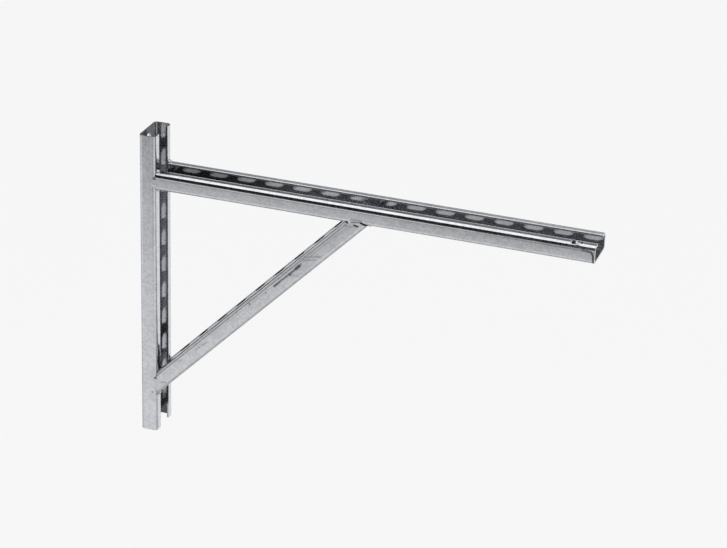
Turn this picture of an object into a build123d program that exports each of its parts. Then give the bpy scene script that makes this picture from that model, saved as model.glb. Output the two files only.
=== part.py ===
"""Welded wall bracket made from three cut lengths of one slotted, lipped channel.

X runs out from the wall, Y across the bracket and Z up, in millimetres.
The origin lies on the wall face, on the bracket's centre line, one slot pitch below the upright's
top end, where the web between two slots is whole.
"""
import os
from math import atan2, cos, sin, sqrt

from build123d import *

# Channel section
channel_width = 41.0
channel_depth = 18.0
wall = 2.0
mouth_width = 21.0
corner_radius = 4.0

# Slots in the web
slot_pitch = 30.0
slot_length = 19.0
slot_width = 12.0

# Lengths of the pieces, and where they meet
upright_rise = 39.0
upright_tail = 43.0
arm_length = 450.0
brace_reach = 224.0
brace_drop = 230.0

# Welds
bead_toe = 1.8
bead_crown = 0.9
fillet_leg = 3.0
fillet_bulge = 0.35
weld_margin = 1.0

# Places worked out from the sizes
half_width = channel_width / 2
half_mouth = mouth_width / 2
front = channel_depth
upright_top = slot_pitch
arm_top = upright_top - upright_rise
arm_bottom = arm_top - channel_depth
foot_height = arm_bottom - brace_drop
upright_length = upright_top - foot_height + upright_tail
lean = atan2(brace_drop, brace_reach)
foot_span = channel_depth / cos(lean)
head_span = channel_depth / sin(lean)
lip_weld_start = half_mouth + weld_margin
flat_end = half_width - corner_radius

# Directions, and the corners that the pieces are set out from
out_from_wall = Vector(1, 0, 0)
across = Vector(0, 1, 0)
upwards = Vector(0, 0, 1)
along_brace = Vector(cos(lean), 0, sin(lean))
brace_mouth = Vector(-sin(lean), 0, cos(lean))
upright_start = Vector(0, 0, upright_top)
arm_start = Vector(front, 0, arm_bottom)
brace_foot = Vector(front, 0, foot_height)
brace_head = Vector(front + brace_reach, 0, arm_bottom)
brace_length = (brace_head - brace_foot).length
end_stock = max(foot_span, head_span)
stock_length = brace_length + 2 * end_stock
near_side = across * -half_width


def channel_section(start, axis):
    """Lipped channel section square to an axis, with the outside of its web through the start point."""
    with BuildSketch(Plane(origin=start, x_dir=across, z_dir=axis)) as section:
        with BuildLine():
            FilletPolyline(
                (-half_mouth, channel_depth),
                (-half_width, channel_depth),
                (-half_width, 0),
                (half_width, 0),
                (half_width, channel_depth),
                (half_mouth, channel_depth),
                radius=corner_radius,
            )
            offset(amount=wall, side=Side.LEFT)
        make_face()
    return section.sketch


def web_slots(start, axis, mouth, length):
    """Row of round-ended slots on the outside of a web, the first half a pitch from the start point."""
    count = int(length // slot_pitch)
    middle = start + axis * (count * slot_pitch / 2)
    with BuildSketch(Plane(origin=middle, x_dir=axis, z_dir=mouth)) as slots:
        with GridLocations(slot_pitch, slot_pitch, count, 1):
            SlotOverall(slot_length, slot_width)
    return slots.sketch


def bead_section(start, from_joint, axis):
    """Weld bead in the groove between a channel's round corner and a flange end butted against it."""
    groove = corner_radius - sqrt(corner_radius**2 - (corner_radius - wall) ** 2)
    round_middle = corner_radius * (1 - sqrt(0.5))
    with BuildSketch(Plane(origin=start, x_dir=from_joint, z_dir=axis)) as section:
        with BuildLine():
            ThreePointArc((-corner_radius - bead_toe, 0), (-corner_radius / 2, bead_crown), (bead_toe, 0))
            Polyline((bead_toe, 0), (0, 0), (0, -wall), (-groove, -wall))
            ThreePointArc((-groove, -wall), (-round_middle, -round_middle), (-corner_radius, 0))
            Line((-corner_radius, 0), (-corner_radius - bead_toe, 0))
        make_face()
    return section.sketch


def fillet_section(corner, first_leg, second_leg):
    """Fillet weld, seen from the side, between two faces that meet in a line across the bracket."""
    first = corner + first_leg * fillet_leg
    second = corner + second_leg * fillet_leg
    middle = (first + second) * 0.5
    crest = middle + (middle - corner).normalized() * fillet_bulge
    with BuildSketch(Plane.XZ.offset(-flat_end)) as section:
        with BuildLine():
            ThreePointArc((first.X, first.Z), (crest.X, crest.Z), (second.X, second.Z))
            Polyline((second.X, second.Z), (corner.X, corner.Z), (first.X, first.Z))
        make_face()
    return section.sketch


os.makedirs("parts", exist_ok=True)

# Upright: web against the wall, mouth towards the arm
with BuildPart() as upright:
    extrude(channel_section(upright_start, -upwards), amount=upright_length)
    extrude(
        web_slots(upright_start, -upwards, out_from_wall, upright_length),
        amount=wall,
        mode=Mode.SUBTRACT,
    )

# Arm: butted square on the upright's lips, mouth upwards
with BuildPart() as arm:
    extrude(channel_section(arm_start, out_from_wall), amount=arm_length)
    extrude(web_slots(arm_start, out_from_wall, upwards, arm_length), amount=wall, mode=Mode.SUBTRACT)

# Brace: mouth into the corner, one end cut flush with the upright's lips, the other with the arm's web
with BuildPart() as brace:
    extrude(channel_section(brace_foot - along_brace * end_stock, along_brace), amount=stock_length)
    extrude(
        web_slots(brace_foot, along_brace, brace_mouth, brace_length),
        amount=wall,
        mode=Mode.SUBTRACT,
    )
    split(bisect_by=Plane(origin=brace_foot, z_dir=out_from_wall), keep=Keep.TOP)
    split(bisect_by=Plane(origin=brace_head, z_dir=upwards), keep=Keep.BOTTOM)

# Welds of the arm: beads down both flanges, fillets under the web on the upright's lips
with BuildPart() as arm_welds:
    extrude(
        bead_section(arm_start + near_side + upwards * (channel_depth - wall), out_from_wall, -upwards),
        amount=channel_depth - 2 * wall,
    )
    extrude(fillet_section(arm_start, out_from_wall, -upwards), amount=flat_end - lip_weld_start)
    mirror(about=Plane.XZ)

# Welds of the brace's foot: beads on the cut flanges, fillets below the web on the upright's lips
with BuildPart() as brace_foot_welds:
    extrude(
        bead_section(brace_foot + near_side + upwards * (foot_span - wall), out_from_wall, -upwards),
        amount=foot_span - 2 * wall,
    )
    extrude(fillet_section(brace_foot, along_brace, -upwards), amount=flat_end - lip_weld_start)
    mirror(about=Plane.XZ)

# Welds of the brace's head: beads on the cut flanges, fillets beside the slot under the arm's web
with BuildPart() as brace_head_welds:
    extrude(
        bead_section(brace_head + near_side - out_from_wall * wall, -upwards, -out_from_wall),
        amount=head_span - 2 * wall,
    )
    extrude(
        fillet_section(brace_head, -along_brace, out_from_wall),
        amount=flat_end - slot_width / 2 - weld_margin,
    )
    mirror(about=Plane.XZ)

upright.part.label = "upright_channel"
arm.part.label = "arm_channel"
brace.part.label = "brace_channel"
arm_welds.part.label = "arm_welds"
brace_foot_welds.part.label = "brace_foot_welds"
brace_head_welds.part.label = "brace_head_welds"

export_step(upright.part, "parts/upright_channel.step")
export_step(arm.part, "parts/arm_channel.step")
export_step(brace.part, "parts/brace_channel.step")
export_step(arm_welds.part, "parts/arm_welds.step")
export_step(brace_foot_welds.part, "parts/brace_foot_welds.step")
export_step(brace_head_welds.part, "parts/brace_head_welds.step")
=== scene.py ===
import math

import bpy
from mathutils import Matrix, Vector


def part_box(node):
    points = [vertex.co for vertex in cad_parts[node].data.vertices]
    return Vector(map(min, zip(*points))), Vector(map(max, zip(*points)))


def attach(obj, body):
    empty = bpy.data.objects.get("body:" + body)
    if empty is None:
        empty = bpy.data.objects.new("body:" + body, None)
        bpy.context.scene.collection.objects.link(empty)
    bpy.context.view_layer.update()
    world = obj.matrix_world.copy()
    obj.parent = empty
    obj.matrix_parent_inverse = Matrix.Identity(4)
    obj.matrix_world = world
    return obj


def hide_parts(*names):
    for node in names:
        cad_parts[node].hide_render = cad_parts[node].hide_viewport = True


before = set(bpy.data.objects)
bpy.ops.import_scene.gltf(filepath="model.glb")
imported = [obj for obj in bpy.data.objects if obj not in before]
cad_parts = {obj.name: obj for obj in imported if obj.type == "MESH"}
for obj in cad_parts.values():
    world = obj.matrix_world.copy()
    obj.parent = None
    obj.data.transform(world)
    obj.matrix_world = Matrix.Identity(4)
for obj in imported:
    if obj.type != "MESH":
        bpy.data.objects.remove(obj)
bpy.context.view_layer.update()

bl_info = {
    "name": "Channel wall bracket",
    "version": (1, 1, 0),
    "blender": (4, 5, 0),
    "location": "3D View > Sidebar > Bracket",
    "description": "Finishes a welded bracket of slotted steel channel and sets it in a plain studio",
    "category": "Object",
}

MM = 0.001
PHOTO_WIDTH = 727
SENSOR_WIDTH = 36.0

# Places read from the frame, in metres
ARM_LOW, ARM_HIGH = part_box("arm_channel")
UPRIGHT_LOW, UPRIGHT_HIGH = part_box("upright_channel")
BRACE_LOW, BRACE_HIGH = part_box("brace_channel")
FRONT = UPRIGHT_HIGH.x
HALF_WIDTH = ARM_HIGH.y
DEPTH = ARM_HIGH.z - ARM_LOW.z
ARM_LENGTH = ARM_HIGH.x - ARM_LOW.x
UPRIGHT_LENGTH = UPRIGHT_HIGH.z - UPRIGHT_LOW.z
BRACE_LEAN = math.atan2(BRACE_HIGH.z - BRACE_LOW.z, BRACE_HIGH.x - BRACE_LOW.x)
UPRIGHT_TOP = Vector((0.0, 0.0, UPRIGHT_HIGH.z))
ARM_START = Vector((ARM_LOW.x, 0.0, ARM_LOW.z))
BRACE_FOOT = Vector((BRACE_LOW.x, 0.0, BRACE_LOW.z))
BRACE_HEAD = Vector((BRACE_HIGH.x, 0.0, BRACE_HIGH.z))
FOOT_SPAN = DEPTH / math.cos(BRACE_LEAN)
HEAD_SPAN = DEPTH / math.sin(BRACE_LEAN)

# Distances from a channel's face between which the mask for that face rises
MASK_START = 0.4 * MM
MASK_END = 0.1 * MM

# Groove beside a rolled corner: its distance from the corner, and half its width
GROOVE_OFFSET = 0.9 * MM
GROOVE_REACH = 1.0 * MM

# Rolled zinc: how fine its patterns are, per metre, and how much each adds to tone, relief and roughness
STREAK_STRETCH = (25.0, 700.0, 700.0)
CRYSTALS_PER_METRE = 430.0
CLOUDS_PER_METRE = 40.0
WAVES_PER_METRE = 16.0
STREAK_SHARE, CRYSTAL_SHARE, CLOUD_SHARE = 0.3, 0.3, 0.4
TONE_RANGE = (0.32, 0.68)
STREAK_HEIGHT = 0.006 * MM
CLOUD_ROUGHNESS, CRYSTAL_ROUGHNESS, FLUX_ROUGHNESS = 0.1, 0.05, 0.4

# Weld metal and zinc drops: their patterns in the same way, the depth of their flaws, and how many times
# they are smoothed
WELD_CLOUDS_PER_METRE = 160.0
DIMPLES_PER_METRE = 420.0
WELD_TONE_RANGE = (0.3, 0.7)
WELD_CLOUD_HEIGHT = 0.08 * MM
DIMPLE_HEIGHT = 0.03 * MM
FLAW_DEPTH = 0.1 * MM
WELD_ROUGHNESS, WELD_CLOUD_ROUGHNESS = 0.16, 0.14
WELD_SMOOTHING, DROP_SMOOTHING = 6, 3

# Painted shade inside a channel, darkest towards the upright's lower end and towards the arm's root: where
# along the channel it begins and where it is full, and its amount
UPRIGHT_END_SHADE = (UPRIGHT_LENGTH - 34.0 * MM, UPRIGHT_LENGTH - 20.0 * MM, 0.68)
ARM_ROOT_SHADE = (150.0 * MM, 30.0 * MM, 0.45)

# Marks fade out between these places across the bracket, and between these shares of their width from their
# middle line. On the channels they are patchy, with a least strength and what the patches add to it
MARKS_FULL, MARKS_GONE = -14.0 * MM, -12.0 * MM
STROKE_CORE, STROKE_EDGE = 0.3, 0.75
PATCHES_PER_METRE = 350.0
PATCH_LEAST, PATCH_RANGE = 0.55, 0.6

# Dark marks on the near side: both ends in the side view and the width, in millimetres, and the strength.
# First those at the brace's two welds: painted shade in the gaps and undercuts at its head, dark flaws at its
# foot
HEAD_SHADE_MARKS = [
    ((227.8, -28.1), (231.8, -28.8), 1.9, 1.0),
    ((234.5, -24.2), (238.3, -25.9), 1.9, 1.0),
    ((224.8, -25.4), (234.1, -24.0), 1.4, 0.45),
    ((216.9, -30.2), (226.0, -30.4), 1.0, 0.3),
]
FOOT_MARKS = [
    ((13.2, -255.1), (13.8, -254.9), 2.0, 0.45),
    ((16.7, -257.7), (17.9, -257.5), 2.2, 0.3),
]

# A painted dark reflection: a line beside the arm's upper corner, which turns down along its free end
ARM_CORNER_REFLECTION_MARKS = [
    ((352.0, -13.4), (380.0, -13.6), 1.2, 0.25),
    ((380.0, -13.6), (410.0, -14.0), 1.3, 0.4),
    ((410.0, -14.0), (455.0, -13.7), 1.5, 0.45),
    ((455.0, -13.7), (464.3, -14.4), 2.2, 0.8),
    ((464.3, -14.4), (466.2, -18.0), 2.0, 0.95),
    ((466.2, -18.0), (466.6, -25.6), 1.8, 0.95),
]

# Scratches and specks on the brace
BRACE_SCRATCHES = [
    ((145.9, -109.1), (151.7, -102.9), 2.0, 0.8),
    ((151.7, -102.9), (162.3, -92.4), 1.7, 0.65),
    ((162.0, -93.1), (162.7, -92.5), 3.6, 0.9),
    ((162.7, -92.3), (168.8, -85.4), 1.7, 0.7),
    ((168.3, -86.0), (172.6, -81.3), 2.8, 0.9),
    ((172.6, -81.3), (174.2, -79.1), 1.6, 0.6),
    ((177.4, -71.2), (194.3, -67.8), 1.7, 0.3),
    ((176.3, -74.6), (189.8, -72.2), 1.7, 0.25),
    ((165.2, -92.3), (170.7, -93.7), 1.8, 0.25),
    ((23.0, -241.6), (28.4, -240.7), 1.8, 0.35),
    ((42.0, -213.7), (46.4, -211.1), 1.3, 0.25),
    ((62.0, -196.0), (66.4, -192.2), 1.3, 0.35),
    ((68.0, -190.2), (73.5, -185.7), 1.3, 0.35),
    ((119.9, -133.5), (120.4, -133.1), 1.9, 0.7),
    ((136.9, -117.9), (137.4, -117.5), 1.7, 0.6),
]

# Drops of zinc on the arm's near lip, in millimetres: how far each lies from the arm's free end, its place
# across, how far it is sunk below the lip, and its three reaches. Then the flaws on them
ZINC_DROPS = [
    ((21.8, -15.8, 0.2), (4.2, 3.4, 1.7)),
    ((17.6, -18.5, 1.3), (2.4, 1.9, 1.4)),
    ((14.2, -15.0, 0.2), (1.8, 1.6, 1.2)),
]
DROP_MARKS = [
    ((445.2, -8.2), (447.2, -8.3), 2.5, 1.0),
    ((450.2, -10.2), (451.2, -11.0), 2.2, 1.0),
    ((453.4, -8.2), (454.2, -8.3), 2.0, 1.0),
]

# Welds: how far the flange beads' middle lies behind the upright's front, how far in from the lips and from
# the web these beads end, how far in from the flanges' outsides the short beads end, and the swell of ripples
SEAM_SETBACK = 1.6 * MM
ARM_FROM_LIPS, ARM_FROM_WEB = 7.2 * MM, 6.6 * MM
FOOT_FROM_LIPS, FOOT_FROM_WEB = 9.0 * MM, 7.6 * MM
HEAD_FROM_LIPS, HEAD_FROM_WEB = 8.0 * MM, 7.0 * MM
SHORT_BEAD_END = 4.6 * MM
SWELL, SWELL_TURN = 0.05, 2.3

# Floor as the metal mirrors it, from the camera's side to behind the bracket: metres and brightness
FLOOR_START, FLOOR_END = -6.0, 2.0
FLOOR_LEVELS = [
    (-6.0, 0.46), (-3.6, 0.43), (-2.81, 0.46), (-2.56, 0.63), (-2.03, 0.82),
    (-1.5, 0.92), (-0.9, 0.82), (-0.2, 0.58), (0.5, 0.58), (1.4, 0.95),
]
DARK_CARD = (0.01, 0.01, 0.01, 1.0)
PAPER_ROUGHNESS = 0.9

# Length and width of the soft lamp, and how far the camera sees, in metres
LAMP_SIZE = (2.0, 1.4)
VIEW_REACH = 100.0


class BracketFinish(bpy.types.PropertyGroup):
    """Colours and sizes of the galvanised finish."""

    zinc_light: bpy.props.FloatVectorProperty(
        name="Light zinc", description="Colour of the brighter crystals of the coating",
        default=(0.68, 0.692, 0.715), size=3, min=0.0, max=1.0, subtype="COLOR")
    zinc_dark: bpy.props.FloatVectorProperty(
        name="Dark zinc", description="Colour of the duller crystals of the coating",
        default=(0.55, 0.56, 0.585), size=3, min=0.0, max=1.0, subtype="COLOR")
    # This dark colour is also used for painted shade inside the channels and at the brace's head weld, and
    # for a painted dark reflection along the arm's upper corner
    flux_and_shade: bpy.props.FloatVectorProperty(
        name="Flux marks", description="Colour of soot and of the dark residue in scratches and weld pits",
        default=(0.035, 0.035, 0.037), size=3, min=0.0, max=1.0, subtype="COLOR")
    roughness: bpy.props.FloatProperty(
        name="Roughness", description="Roughness of the rolled, galvanised faces",
        default=0.12, min=0.0, max=1.0, subtype="FACTOR")
    # Painted shade: the colour inside a channel is darkened, standing in for the shade there
    inside_painted_shade: bpy.props.FloatProperty(
        name="Inside dulling", description="How much duller the coating is inside a channel",
        default=0.22, min=0.0, max=1.0, subtype="FACTOR")
    inside_oxide: bpy.props.FloatProperty(
        name="Inside oxide", description="Share of chalky zinc oxide on the coating inside a channel",
        default=0.07, min=0.0, max=1.0, subtype="FACTOR")
    wave_height: bpy.props.FloatProperty(
        name="Wave height", description="Height of the long, faint waves in the rolled faces",
        default=0.16 * MM, min=0.0, subtype="DISTANCE", unit="LENGTH")
    flange_bow: bpy.props.FloatProperty(
        name="Flange bow", description="How far the middle of a flange bows out",
        default=0.08 * MM, min=0.0, subtype="DISTANCE", unit="LENGTH")
    flange_lean: bpy.props.FloatProperty(
        name="Flange lean", description="How much the arm's flanges lean in towards the mouth, as a slope",
        default=0.015, min=0.0)
    lip_droop: bpy.props.FloatProperty(
        name="Lip droop", description="Fall of the lips towards the mouth, as a slope",
        default=0.0175, min=0.0)
    lip_rounding: bpy.props.FloatProperty(
        name="Lip rounding", description="How far the cut edge of a lip is rounded down",
        default=0.25 * MM, min=0.0, subtype="DISTANCE", unit="LENGTH")
    lip_edge: bpy.props.FloatProperty(
        name="Lip edge", description="Width of the rounded strip along the cut edge of a lip",
        default=1.2 * MM, min=0.1 * MM, subtype="DISTANCE", unit="LENGTH")
    lip_shear: bpy.props.FloatProperty(
        name="Lip shear", description="How much the sheared edges of the brace's lips lean, as a slope",
        default=0.38, min=0.0)
    strip: bpy.props.FloatProperty(
        name="Strip", description="Thickness of the strip that the channels are rolled from",
        default=2.0 * MM, min=0.1 * MM, subtype="DISTANCE", unit="LENGTH")
    mouth_width: bpy.props.FloatProperty(
        name="Mouth width", description="Gap between the two lips of a channel",
        default=21.0 * MM, min=0.0, subtype="DISTANCE", unit="LENGTH")
    corner_radius: bpy.props.FloatProperty(
        name="Corner radius", description="Outside radius of the channel's rolled corners",
        default=4.0 * MM, min=0.0, subtype="DISTANCE", unit="LENGTH")
    corner_groove: bpy.props.FloatProperty(
        name="Corner groove", description="Depth of the faint groove that rolling leaves beside a corner",
        default=0.05 * MM, min=0.0, subtype="DISTANCE", unit="LENGTH")


class BracketWelds(bpy.types.PropertyGroup):
    """Sizes of the welds."""

    bead_reach: bpy.props.FloatProperty(
        name="Bead reach", description="Half the width of a bead on the flanges",
        default=5.6 * MM, min=0.0, subtype="DISTANCE", unit="LENGTH")
    bead_thickness: bpy.props.FloatProperty(
        name="Bead thickness", description="Half the thickness of a bead on the flanges",
        default=1.15 * MM, min=0.0, subtype="DISTANCE", unit="LENGTH")
    bead_crown: bpy.props.FloatProperty(
        name="Bead crown", description="How far a bead stands out from the flanges",
        default=0.22 * MM, min=0.0, subtype="DISTANCE", unit="LENGTH")
    bead_stretch: bpy.props.FloatProperty(
        name="Bead stretch", description="How far each ripple runs on along the seam",
        default=4.0 * MM, min=0.0, subtype="DISTANCE", unit="LENGTH")
    ripple: bpy.props.FloatProperty(
        name="Ripple", description="Distance between the ripples of a bead",
        default=1.7 * MM, min=0.1 * MM, subtype="DISTANCE", unit="LENGTH")
    grain: bpy.props.FloatProperty(
        name="Mesh grain", description="Size of the cells that the ripples are fused with",
        default=0.35 * MM, min=0.05 * MM, subtype="DISTANCE", unit="LENGTH")
    drop_grain: bpy.props.FloatProperty(
        name="Drop grain", description="Size of the cells that the zinc drops are fused with",
        default=0.25 * MM, min=0.05 * MM, subtype="DISTANCE", unit="LENGTH")


class BracketStage(bpy.types.PropertyGroup):
    """Studio and camera."""

    floor_drop: bpy.props.FloatProperty(
        name="Floor drop", description="Height of the upright's lower end above the floor",
        default=0.9, min=0.0, subtype="DISTANCE", unit="LENGTH")
    floor_size: bpy.props.FloatProperty(
        name="Floor size", description="Length of each side of the floor",
        default=60.0, min=1.0, subtype="DISTANCE", unit="LENGTH")
    floor_glow: bpy.props.FloatProperty(
        name="Floor glow", description="Share of its own glow in what the camera sees of the floor",
        default=0.85, min=0.0, max=1.0, subtype="FACTOR")
    pale: bpy.props.FloatVectorProperty(
        name="Background", description="Colour of the floor and of the studio behind it",
        default=(0.93, 0.93, 0.93), size=3, min=0.0, max=1.0, subtype="COLOR")
    softbox_level: bpy.props.FloatProperty(
        name="Softbox level", description="Brightness of the large softbox overhead as the metal mirrors it",
        default=1.4, min=0.0)
    softbox_tilt: bpy.props.FloatProperty(
        name="Softbox tilt", description="How far the softbox leans to the back, as a slope",
        default=0.31)
    spill_level: bpy.props.FloatProperty(
        name="Spill level", description="Brightness that the softbox's rim adds behind the bracket",
        default=0.3, min=0.0)
    front_level: bpy.props.FloatProperty(
        name="Front level", description="Brightness of the studio on the camera's side",
        default=0.5, min=0.0)
    back_level: bpy.props.FloatProperty(
        name="Back level", description="Brightness of the studio behind the bracket",
        default=0.12, min=0.0)
    skirting_level: bpy.props.FloatProperty(
        name="Skirting level", description="Brightness that the low, pale band adds behind the bracket",
        default=0.95, min=0.0)
    left_level: bpy.props.FloatProperty(
        name="Left level", description="Brightness of the studio on the upright's side",
        default=0.72, min=0.0)
    lamp_place: bpy.props.FloatVectorProperty(
        name="Lamp place", description="Where the soft lamp hangs",
        default=(0.2, -0.3, 2.2), size=3, subtype="TRANSLATION", unit="LENGTH")
    lamp_power: bpy.props.FloatProperty(
        name="Lamp power", description="Power of the soft lamp",
        default=12.0, min=0.0, unit="POWER")
    camera_place: bpy.props.FloatVectorProperty(
        name="Camera place", description="Where the camera stands",
        default=(0.8996, -2.0201, 0.9115), size=3, subtype="TRANSLATION", unit="LENGTH")
    camera_heading: bpy.props.FloatProperty(
        name="Camera heading", description="Turn of the camera about the vertical",
        default=math.radians(18.272), subtype="ANGLE", unit="ROTATION")
    camera_dip: bpy.props.FloatProperty(
        name="Camera dip", description="How far the camera looks down",
        default=math.radians(25.172), subtype="ANGLE", unit="ROTATION")
    camera_roll: bpy.props.FloatProperty(
        name="Camera roll", description="Turn of the camera about its own line of sight",
        default=math.radians(1.966), subtype="ANGLE", unit="ROTATION")
    focal_pixels: bpy.props.FloatProperty(
        name="Focal length", description="Focal length in pixels of the picture",
        default=2375.0, min=1.0)


class Wire:
    """A node socket that can be used in Python expressions, each of which adds a Math node."""

    def __init__(self, tree, socket=None):
        self.tree = tree
        self.socket = socket

    def feed(self, target, value):
        """Links a wire to an input socket, or sets the socket to a plain value."""
        if isinstance(value, Wire):
            self.tree.links.new(value.socket, target)
        else:
            target.default_value = value

    def node(self, kind, settings=None, inputs=None, output=0):
        """Adds a node: its settings first, then its inputs by name or number, and gives one output."""
        made = self.tree.nodes.new(kind)
        for name, value in (settings or {}).items():
            if name == "stops":
                self.set_stops(made.color_ramp, value)
            else:
                setattr(made, name, value)
        for name, value in (inputs or {}).items():
            self.feed(made.inputs[name], value)
        return Wire(self.tree, made.outputs[output])

    def set_stops(self, ramp, stops):
        """Gives a colour ramp its stops, each a place and a grey level."""
        while len(ramp.elements) < len(stops):
            ramp.elements.new(1.0)
        for element, (place, level) in zip(ramp.elements, stops):
            element.position = place
            element.color = (level, level, level, 1.0)

    def maths(self, operation, *values):
        """Adds one Math node."""
        return self.node("ShaderNodeMath", {"operation": operation}, dict(enumerate(values)))

    def __add__(self, other):
        return self.maths("ADD", self, other)

    __radd__ = __add__

    def __sub__(self, other):
        return self.maths("SUBTRACT", self, other)

    def __rsub__(self, other):
        return self.maths("SUBTRACT", other, self)

    def __mul__(self, other):
        return self.maths("MULTIPLY", self, other)

    __rmul__ = __mul__

    def __truediv__(self, other):
        return self.maths("DIVIDE", self, other)

    def __abs__(self):
        return self.maths("ABSOLUTE", self)

    def larger(self, other):
        """The larger of this value and another."""
        return self.maths("MAXIMUM", self, other)

    def step(self, start, end):
        """Rises smoothly from 0 to 1 as the value goes from start to end."""
        settings = {"interpolation_type": "SMOOTHSTEP"}
        return self.node("ShaderNodeMapRange", settings, {"Value": self, "From Min": start, "From Max": end})

    def mix(self, first, second):
        """Mixes two colours, with this value as the share of the second."""
        inputs = {"Factor": self, "A": first, "B": second}
        return self.node("ShaderNodeMix", {"data_type": "RGBA"}, inputs, output="Result")

    def axis(self, number):
        """One of the three numbers of this vector."""
        return self.node("ShaderNodeSeparateXYZ", inputs={0: self}, output=number)

    def dot(self, vector):
        """How far this vector reaches along another."""
        settings = {"operation": "DOT_PRODUCT"}
        return self.node("ShaderNodeVectorMath", settings, {0: self, 1: vector}, output="Value")

    def moved(self, start):
        """This vector, measured from a start point."""
        return self.node("ShaderNodeVectorMath", {"operation": "SUBTRACT"}, {0: self, 1: start})

    def stretched(self, scale):
        """This vector, scaled along each axis."""
        return self.node("ShaderNodeVectorMath", {"operation": "MULTIPLY"}, {0: self, 1: scale})

    def noise(self, scale, detail):
        """Noise from 0 to 1 at this place."""
        return self.node("ShaderNodeTexNoise", inputs={"Vector": self, "Scale": scale, "Detail": detail})

    def bump(self, height, strength):
        """A normal bent by a height in metres."""
        inputs = {"Strength": strength, "Distance": 1.0, "Height": height}
        return self.node("ShaderNodeBump", inputs=inputs, output="Normal")

    def stroke(self, start, end, width):
        """A soft line at this place, drawn between two points of the side view given in millimetres."""
        first = Vector((start[0], 0.0, start[1])) * MM
        line = Vector((end[0], 0.0, end[1])) * MM - first
        way = line.normalized()
        aside = Vector((-way.z, 0.0, way.x))
        offset = self.moved(first)
        along = offset.dot(way)
        away = abs(offset.dot(aside))
        past = (along - line.length).larger(along * -1.0).larger(0.0)
        return 1.0 - (past + away).step(STROKE_CORE * width * MM, STROKE_EDGE * width * MM)


def rgba(colour):
    """A colour with full alpha."""
    return (colour[0], colour[1], colour[2], 1.0)


def new_material(name):
    """A material with its shader, and a wire to build with."""
    material = bpy.data.materials.new(name)
    material.use_nodes = True
    shader = material.node_tree.nodes["Principled BSDF"]
    return material, Wire(material.node_tree), shader


def draw_marks(place, marks):
    """Strokes on the near side, each with its ends, width and strength, joined into one mask."""
    near = 1.0 - place.axis(1).step(MARKS_FULL, MARKS_GONE)
    mask = 0.0 * near
    for start, end, width, strength in marks:
        mask = mask.larger(strength * place.stroke(start, end, width))
    return mask * near


def section_coordinates(wire, start, turn):
    """Coordinates along a channel, across it and from its web to its mouth."""
    place = wire.node("ShaderNodeTexCoord", output="Object")
    turned = Matrix.Rotation(turn, 3, "Y") @ start
    mapping = {"Vector": place, "Location": -turned, "Rotation": (0.0, turn, 0.0)}
    section = wire.node("ShaderNodeMapping", inputs=mapping)
    return place, section, section.axis(0), section.axis(1), section.axis(2)


def inside_mask(across, depth, finish):
    """The faces inside a channel: above the web, under the lips and between the flanges."""
    half, most = 0.5 * finish.strip, 0.8 * finish.strip
    under_lips = depth.step(half, most) * (1.0 - depth.step(DEPTH - most, DEPTH - half))
    return under_lips * (1.0 - abs(across).step(HALF_WIDTH - most, HALF_WIDTH - half))


def rolled_relief(across, depth, finish):
    """Height of what rolling leaves: grooves beside corners, bowed flanges, drooping and rounded lips."""
    on_flange = abs(across).step(HALF_WIDTH - MASK_START, HALF_WIDTH - MASK_END)
    groove_place = DEPTH - finish.corner_radius - GROOVE_OFFSET
    groove = (1.0 - (abs(depth - groove_place) / GROOVE_REACH).step(0.0, 1.0)) * on_flange
    from_middle = (depth - 0.5 * DEPTH) / (0.5 * DEPTH)
    bow = from_middle * from_middle * on_flange
    on_lip = depth.step(DEPTH - MASK_START, DEPTH - MASK_END)
    fall = (HALF_WIDTH - finish.corner_radius - abs(across)).larger(0.0) * on_lip
    edge = (1.0 - (abs(across) - 0.5 * finish.mouth_width) / finish.lip_edge).larger(0.0)
    rounding = edge * edge * on_lip
    hollows = groove * finish.corner_groove + bow * finish.flange_bow
    return -1.0 * (hollows + fall * finish.lip_droop + rounding * finish.lip_rounding)


def flange_lean_relief(along, depth, length, finish):
    """Height of flanges that lean in, all along a channel but not on its sawn ends."""
    past_start = along.step(MASK_END, MASK_START)
    before_end = 1.0 - along.step(length - MASK_START, length - MASK_END)
    return depth * finish.flange_lean * past_start * before_end


def lip_shear_relief(across, depth, finish):
    """Height of lips whose sheared edges lean towards the web."""
    half_mouth = 0.5 * finish.mouth_width
    lip_underside = DEPTH - finish.strip
    at_mouth = 1.0 - abs(across).step(half_mouth + MASK_END, half_mouth + MASK_START)
    on_edge = at_mouth * depth.step(lip_underside - MASK_START, lip_underside - MASK_END)
    return finish.lip_shear * (depth - DEPTH) * on_edge


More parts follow.
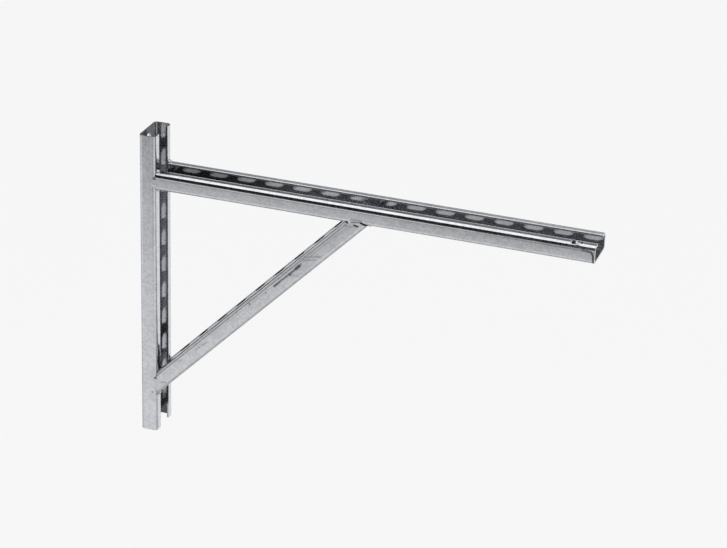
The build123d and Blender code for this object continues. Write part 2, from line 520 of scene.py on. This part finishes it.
def rolled_zinc(name, start, turn, finish, marks, painted_shade=None, leaning_length=None, sheared=False):
    """Galvanised strip steel, rolled to a channel, with painted shade that darkens it inside, and more along
    a given span.

    The flanges lean if the channel's length is given for it, and the edges of the lips if they are sheared.
    """
    material, wire, shader = new_material(name)
    place, section, along, across, depth = section_coordinates(wire, start, turn)
    inside = inside_mask(across, depth, finish)

    streaks = section.stretched(STREAK_STRETCH).noise(1.0, detail=3.0)
    cells = {"Vector": place, "Scale": CRYSTALS_PER_METRE}
    crystals = wire.node("ShaderNodeTexVoronoi", inputs=cells, output="Color")
    crystal = wire.node("ShaderNodeSeparateColor", inputs={0: crystals})
    clouds = place.noise(CLOUDS_PER_METRE, detail=4.0)
    tone = STREAK_SHARE * streaks + CRYSTAL_SHARE * crystal + CLOUD_SHARE * clouds
    colour = tone.step(*TONE_RANGE).mix(rgba(finish.zinc_dark), rgba(finish.zinc_light))

    # Painted shade: the colour inside the channel is mixed towards the dark mark colour, more towards the
    # given end
    inside_shade = finish.inside_painted_shade * inside
    if painted_shade:
        unshaded, fully_shaded, amount = painted_shade
        inside_shade = inside_shade + amount * inside * along.step(unshaded, fully_shaded)
    colour = inside_shade.mix(colour, rgba(finish.flux_and_shade))
    roughness = finish.roughness + CLOUD_ROUGHNESS * (clouds - 0.5) + CRYSTAL_ROUGHNESS * (crystal - 0.5)
    # Dark marks: real scratches, specks and flaws, and also painted shade at the brace's head weld and a
    # painted dark reflection along the arm's upper corner
    patches = PATCH_LEAST + PATCH_RANGE * place.noise(PATCHES_PER_METRE, detail=1.0)
    mark = draw_marks(place, marks) * patches
    colour = mark.mix(colour, rgba(finish.flux_and_shade))
    roughness = roughness + FLUX_ROUGHNESS * mark

    waves = place.noise(WAVES_PER_METRE, detail=1.0)
    height = waves * finish.wave_height + streaks * STREAK_HEIGHT + rolled_relief(across, depth, finish)
    if leaning_length:
        height = height + inside * flange_lean_relief(along, depth, leaning_length, finish)
    if sheared:
        height = height + lip_shear_relief(across, depth, finish)

    wire.feed(shader.inputs["Base Color"], colour)
    wire.feed(shader.inputs["Roughness"], roughness)
    wire.feed(shader.inputs["Metallic"], 1.0 - finish.inside_oxide * inside)
    wire.feed(shader.inputs["Normal"], wire.bump(height, strength=1.0))
    return material


def weld_zinc(name, finish, marks=()):
    """Galvanised weld metal: softer than the strip, slightly dimpled, with dark marks where given: residue in
    its flaws, painted shade in its gaps.
    """
    material, wire, shader = new_material(name)
    place = wire.node("ShaderNodeTexCoord", output="Object")
    clouds = place.noise(WELD_CLOUDS_PER_METRE, detail=3.0)
    dimples = place.noise(DIMPLES_PER_METRE, detail=2.0)
    dark = draw_marks(place, marks)
    colour = clouds.step(*WELD_TONE_RANGE).mix(rgba(finish.zinc_dark), rgba(finish.zinc_light))
    height = dimples * DIMPLE_HEIGHT + clouds * WELD_CLOUD_HEIGHT - dark * FLAW_DEPTH
    wire.feed(shader.inputs["Base Color"], dark.mix(colour, rgba(finish.flux_and_shade)))
    roughness = WELD_ROUGHNESS + WELD_CLOUD_ROUGHNESS * clouds + FLUX_ROUGHNESS * dark
    wire.feed(shader.inputs["Roughness"], roughness)
    wire.feed(shader.inputs["Normal"], wire.bump(height, strength=0.8))
    shader.inputs["Metallic"].default_value = 1.0
    return material


def dress(node, material):
    """Gives a CAD node one material."""
    mesh = node.data
    mesh.materials.clear()
    mesh.materials.append(material)


def fuse(context, name, drops, grain, rounds):
    """Fuses flattened balls, each a place and its three reaches, into one lumpy piece."""
    bpy.ops.object.select_all(action="DESELECT")
    balls = []
    for place, reaches in drops:
        bpy.ops.mesh.primitive_uv_sphere_add(segments=16, ring_count=10, radius=1.0, location=place)
        ball = context.object
        ball.scale = reaches
        balls.append(ball)
    for ball in balls:
        ball.select_set(True)
    bpy.ops.object.join()
    piece = context.object
    piece.name = name
    bpy.ops.object.transform_apply(location=True, rotation=True, scale=True)
    remesh = piece.modifiers.new("fuse", "REMESH")
    remesh.mode = "VOXEL"
    remesh.voxel_size = grain
    bpy.ops.object.modifier_apply(modifier=remesh.name)
    soften = piece.modifiers.new("soften", "SMOOTH")
    soften.iterations = rounds
    bpy.ops.object.modifier_apply(modifier=soften.name)
    bpy.ops.object.shade_smooth()
    return piece


def bead(start, end, reaches, ripple):
    """Balls in a row on both sides of the bracket, each a little larger or smaller than the last."""
    count = max(2, round((end - start).length / ripple))
    drops = []
    for side in (1.0, -1.0):
        for i in range(count + 1):
            place = start.lerp(end, i / count)
            swell = 1.0 + SWELL * math.sin(SWELL_TURN * i + side)
            ball = (reaches[0] * swell, reaches[1], reaches[2] * swell)
            drops.append(((place.x, place.y * side, place.z), ball))
    return drops


def short_bead(corner, inset, reaches, ripple):
    """Short beads across both lips, or both edges of a web, from an inset to just before the corners."""
    first = corner + Vector((0.0, HALF_WIDTH - inset, 0.0))
    last = corner + Vector((0.0, HALF_WIDTH - SHORT_BEAD_END, 0.0))
    return bead(first, last, reaches, ripple)


def upright_bead(top, bottom, welds):
    """Beads down the seams between the upright and both flanges of a channel butted on it."""
    seam = Vector((FRONT - SEAM_SETBACK, HALF_WIDTH + welds.bead_crown - welds.bead_thickness, 0.0))
    reaches = (welds.bead_reach, welds.bead_thickness, welds.bead_stretch)
    return bead(seam + Vector((0.0, 0.0, top)), seam + Vector((0.0, 0.0, bottom)), reaches, welds.ripple)


def finish_weld(context, node, drops, welds, marks=()):
    """Makes a weld that stands for a CAD node and moves with the bracket."""
    piece = fuse(context, node + "_bead", drops, welds.grain, WELD_SMOOTHING)
    piece.data.materials.append(weld_zinc(node + "_zinc", context.scene.bracket_finish, marks))
    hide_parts(node)
    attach(piece, "root")


class BRACKET_OT_dress_channels(bpy.types.Operator):
    """Give the three channels their galvanised finish"""

    bl_idname = "bracket.dress_channels"
    bl_label = "Galvanise the channels"

    def execute(self, context):
        finish = context.scene.bracket_finish
        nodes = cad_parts
        upright_zinc = rolled_zinc(
            "upright_zinc", UPRIGHT_TOP, -math.pi / 2, finish, FOOT_MARKS, painted_shade=UPRIGHT_END_SHADE)
        arm_zinc = rolled_zinc(
            "arm_zinc", ARM_START, 0.0, finish, HEAD_SHADE_MARKS + ARM_CORNER_REFLECTION_MARKS,
            painted_shade=ARM_ROOT_SHADE, leaning_length=ARM_LENGTH)
        brace_marks = BRACE_SCRATCHES + HEAD_SHADE_MARKS + FOOT_MARKS
        brace_zinc = rolled_zinc("brace_zinc", BRACE_FOOT, BRACE_LEAN, finish, brace_marks, sheared=True)
        dress(nodes["upright_channel"], upright_zinc)
        dress(nodes["arm_channel"], arm_zinc)
        dress(nodes["brace_channel"], brace_zinc)
        return {"FINISHED"}


class BRACKET_OT_weld_arm(bpy.types.Operator):
    """Lay the welds between the arm and the upright"""

    bl_idname = "bracket.weld_arm"
    bl_label = "Weld the arm"

    def execute(self, context):
        welds = context.scene.bracket_welds
        drops = upright_bead(ARM_HIGH.z - ARM_FROM_LIPS, ARM_LOW.z + ARM_FROM_WEB, welds)
        under_web = Vector((FRONT + 0.5 * MM, 0.0, ARM_LOW.z - 0.5 * MM))
        reaches = (2.2 * MM, 1.3 * MM, 2.2 * MM)
        drops += short_bead(under_web, inset=8.2 * MM, reaches=reaches, ripple=welds.ripple)
        on_lips = Vector((FRONT + 0.3 * MM, 0.0, ARM_HIGH.z + 0.2 * MM))
        reaches = (2.0 * MM, 1.5 * MM, 2.0 * MM)
        drops += short_bead(on_lips, inset=7.4 * MM, reaches=reaches, ripple=welds.ripple)
        finish_weld(context, "arm_welds", drops, welds)
        return {"FINISHED"}


class BRACKET_OT_weld_foot(bpy.types.Operator):
    """Lay the welds between the brace's foot and the upright"""

    bl_idname = "bracket.weld_foot"
    bl_label = "Weld the brace's foot"

    def execute(self, context):
        welds = context.scene.bracket_welds
        top = BRACE_FOOT.z + FOOT_SPAN - FOOT_FROM_LIPS
        drops = upright_bead(top, BRACE_FOOT.z + FOOT_FROM_WEB, welds)
        below_web = Vector((FRONT + 0.2 * MM, 0.0, BRACE_FOOT.z - 0.6 * MM))
        reaches = (1.7 * MM, 1.3 * MM, 2.0 * MM)
        drops += short_bead(below_web, inset=8.2 * MM, reaches=reaches, ripple=welds.ripple)
        finish_weld(context, "brace_foot_welds", drops, welds, FOOT_MARKS)
        return {"FINISHED"}


class BRACKET_OT_weld_head(bpy.types.Operator):
    """Lay the welds between the brace's head and the arm"""

    bl_idname = "bracket.weld_head"
    bl_label = "Weld the brace's head"

    def execute(self, context):
        welds = context.scene.bracket_welds
        crown, height, spread = 0.1 * MM, 3.4 * MM, 8.0 * MM
        seam = Vector((BRACE_HEAD.x, HALF_WIDTH + crown - welds.bead_thickness, ARM_LOW.z + height))
        outer = seam - Vector((HEAD_FROM_WEB, 0.0, 0.0))
        inner = seam - Vector((HEAD_SPAN - HEAD_FROM_LIPS, 0.0, 0.0))
        drops = bead(outer, inner, (welds.bead_stretch, welds.bead_thickness, spread), welds.ripple)
        beside_web = Vector((BRACE_HEAD.x + 0.6 * MM, 0.0, ARM_LOW.z - 0.2 * MM))
        reaches = (2.0 * MM, 1.3 * MM, 1.7 * MM)
        drops += short_bead(beside_web, inset=12.6 * MM, reaches=reaches, ripple=welds.ripple)
        finish_weld(context, "brace_head_welds", drops, welds, HEAD_SHADE_MARKS)
        return {"FINISHED"}


class BRACKET_OT_set_zinc_drops(bpy.types.Operator):
    """Set the drops of zinc that froze on the arm's near lip"""

    bl_idname = "bracket.set_zinc_drops"
    bl_label = "Set the zinc drops"

    def execute(self, context):
        drops = []
        for (from_end, across, sunk), reaches in ZINC_DROPS:
            place = (ARM_HIGH.x - from_end * MM, across * MM, ARM_HIGH.z - sunk * MM)
            drops.append((place, tuple(reach * MM for reach in reaches)))
        grain = context.scene.bracket_welds.drop_grain
        piece = fuse(context, "arm_zinc_drops", drops, grain, DROP_SMOOTHING)
        piece.data.materials.append(weld_zinc("drop_zinc", context.scene.bracket_finish, DROP_MARKS))
        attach(piece, "root")
        return {"FINISHED"}


class BRACKET_OT_set_stage(bpy.types.Operator):
    """Lay the floor, hang the light and place the camera"""

    bl_idname = "bracket.set_stage"
    bl_label = "Set the stage"

    def execute(self, context):
        stage = context.scene.bracket_stage
        self.lay_floor(context, stage)
        self.light_studio(context, stage)
        self.hang_lamp(context, stage)
        self.place_camera(context, stage)
        context.scene.view_settings.view_transform = "Standard"
        return {"FINISHED"}

    def lay_floor(self, context, stage):
        """Lays a pale floor, which the metal mirrors with lighter and darker parts."""
        bpy.ops.object.select_all(action="DESELECT")
        height = UPRIGHT_LOW.z - stage.floor_drop
        bpy.ops.mesh.primitive_plane_add(size=stage.floor_size, location=(0.0, 0.0, height))
        floor = context.object
        floor.name = "floor"
        material, wire, shader = new_material("floor_paper")
        seen_directly = wire.node("ShaderNodeLightPath", output="Is Camera Ray")
        mirrored = wire.node("ShaderNodeLightPath", output="Is Glossy Ray")
        place = wire.node("ShaderNodeTexCoord", output="Object")
        aside, away = place.axis(0), place.axis(1)

        reach = {"Value": away, "From Min": FLOOR_START, "From Max": FLOOR_END}
        share = wire.node("ShaderNodeMapRange", inputs=reach)
        stops = [((y - FLOOR_START) / (FLOOR_END - FLOOR_START), level) for y, level in FLOOR_LEVELS]
        shade = wire.node("ShaderNodeValToRGB", {"stops": stops}, {0: share}, output="Color")

        # Dark cards, one before the bracket and one behind it, set out by the slant at which they lie
        slant = aside / away
        front_card = slant.step(0.13, 0.19) * (1.0 - slant.step(0.44, 0.54)) * (1.0 - away.step(-6.5, -4.5))
        back_card = (1.0 - slant.step(-0.64, -0.57)) * away.step(2.6, 3.2)
        shade = front_card.larger(back_card).mix(shade, DARK_CARD)

        look = mirrored.mix(rgba(stage.pale), shade)
        glow = wire.node("ShaderNodeEmission", inputs={"Color": look, "Strength": 1.0})
        shader.inputs["Base Color"].default_value = rgba(stage.pale)
        shader.inputs["Roughness"].default_value = PAPER_ROUGHNESS
        paper = Wire(wire.tree, shader.outputs[0])
        glow_share = seen_directly * stage.floor_glow + mirrored
        both = wire.node("ShaderNodeMixShader", inputs={0: glow_share, 1: paper, 2: glow})
        wire.feed(material.node_tree.nodes["Material Output"].inputs["Surface"], both)
        floor.data.materials.append(material)

    def light_studio(self, context, stage):
        """Lights all with an even glow, and gives the metal a softbox and darker walls to mirror."""
        world = context.scene.world or bpy.data.worlds.new("studio")
        context.scene.world = world
        world.use_nodes = True
        wire = Wire(world.node_tree)
        direction = wire.node("ShaderNodeTexCoord", output="Generated")
        aside, behind, height = direction.axis(0), direction.axis(1), direction.axis(2)
        mirrored = wire.node("ShaderNodeLightPath", output="Is Glossy Ray")

        # The edges of softbox, walls and cards are given as parts of a unit vector: aside, behind and up
        tilted = height + stage.softbox_tilt * behind
        softbox = tilted.step(0.71, 0.78)
        spill = stage.spill_level * tilted.step(0.63, 0.70)
        skirting = stage.skirting_level * (1.0 - height.step(0.10, 0.22))
        back = stage.back_level + spill + skirting
        front_card = aside.step(-0.50, -0.42) * (1.0 - aside.step(-0.18, -0.13)) * height.step(-0.04, 0.0)
        front = stage.front_level - (stage.front_level - DARK_CARD[0]) * front_card
        wall = front + (back - front) * behind.step(-0.3, 0.3)
        wall = wall.larger(stage.left_level * (1.0 - aside.step(-0.88, -0.62)))
        at_left = 1.0 - aside.step(-0.70, -0.62)
        back_card = at_left * behind.step(0.22, 0.32) * (1.0 - height.step(0.13, 0.18))
        wall = wall * (1.0 - back_card)
        seen = wall + softbox * (stage.softbox_level - wall)

        background = world.node_tree.nodes["Background"]
        wire.feed(background.inputs["Strength"], mirrored * seen + (1.0 - mirrored) * stage.pale[0])
        background.inputs["Color"].default_value = (1.0, 1.0, 1.0, 1.0)

    def hang_lamp(self, context, stage):
        """Hangs a soft lamp over the bracket, which the metal doesn't mirror."""
        bpy.ops.object.light_add(type="AREA", location=stage.lamp_place)
        lamp = context.object
        lamp.name = "softbox"
        lamp.data.shape = "RECTANGLE"
        lamp.data.size, lamp.data.size_y = LAMP_SIZE
        lamp.data.energy = stage.lamp_power
        lamp.visible_glossy = False

    def place_camera(self, context, stage):
        """Places the camera as it stood for the photo."""
        bpy.ops.object.camera_add()
        camera = context.object
        camera.name = "camera"
        camera.data.sensor_width = SENSOR_WIDTH
        camera.data.lens = stage.focal_pixels / PHOTO_WIDTH * SENSOR_WIDTH
        camera.data.clip_end = VIEW_REACH
        camera.matrix_world = (
            Matrix.Translation(stage.camera_place)
            @ Matrix.Rotation(stage.camera_heading, 4, "Z")
            @ Matrix.Rotation(math.pi / 2 - stage.camera_dip, 4, "X")
            @ Matrix.Rotation(stage.camera_roll, 4, "Z")
        )
        context.scene.camera = camera


class BRACKET_PT_sidebar(bpy.types.Panel):
    """Steps that finish the bracket"""

    bl_idname = "BRACKET_PT_sidebar"
    bl_label = "Channel wall bracket"
    bl_space_type = "VIEW_3D"
    bl_region_type = "UI"
    bl_category = "Bracket"

    def draw(self, context):
        for step in STEPS:
            self.layout.operator(step.bl_idname)


STEPS = (
    BRACKET_OT_dress_channels,
    BRACKET_OT_weld_arm,
    BRACKET_OT_weld_foot,
    BRACKET_OT_weld_head,
    BRACKET_OT_set_zinc_drops,
    BRACKET_OT_set_stage,
)
CLASSES = (BracketFinish, BracketWelds, BracketStage, *STEPS, BRACKET_PT_sidebar)


def register():
    for item in CLASSES:
        bpy.utils.register_class(item)
    bpy.types.Scene.bracket_finish = bpy.props.PointerProperty(type=BracketFinish)
    bpy.types.Scene.bracket_welds = bpy.props.PointerProperty(type=BracketWelds)
    bpy.types.Scene.bracket_stage = bpy.props.PointerProperty(type=BracketStage)


def unregister():
    del bpy.types.Scene.bracket_stage
    del bpy.types.Scene.bracket_welds
    del bpy.types.Scene.bracket_finish
    for item in reversed(CLASSES):
        bpy.utils.unregister_class(item)


def main():
    register()
    bpy.ops.bracket.dress_channels()
    bpy.ops.bracket.weld_arm()
    bpy.ops.bracket.weld_foot()
    bpy.ops.bracket.weld_head()
    bpy.ops.bracket.set_zinc_drops()
    bpy.ops.bracket.set_stage()


if __name__ == "__main__":
    main()
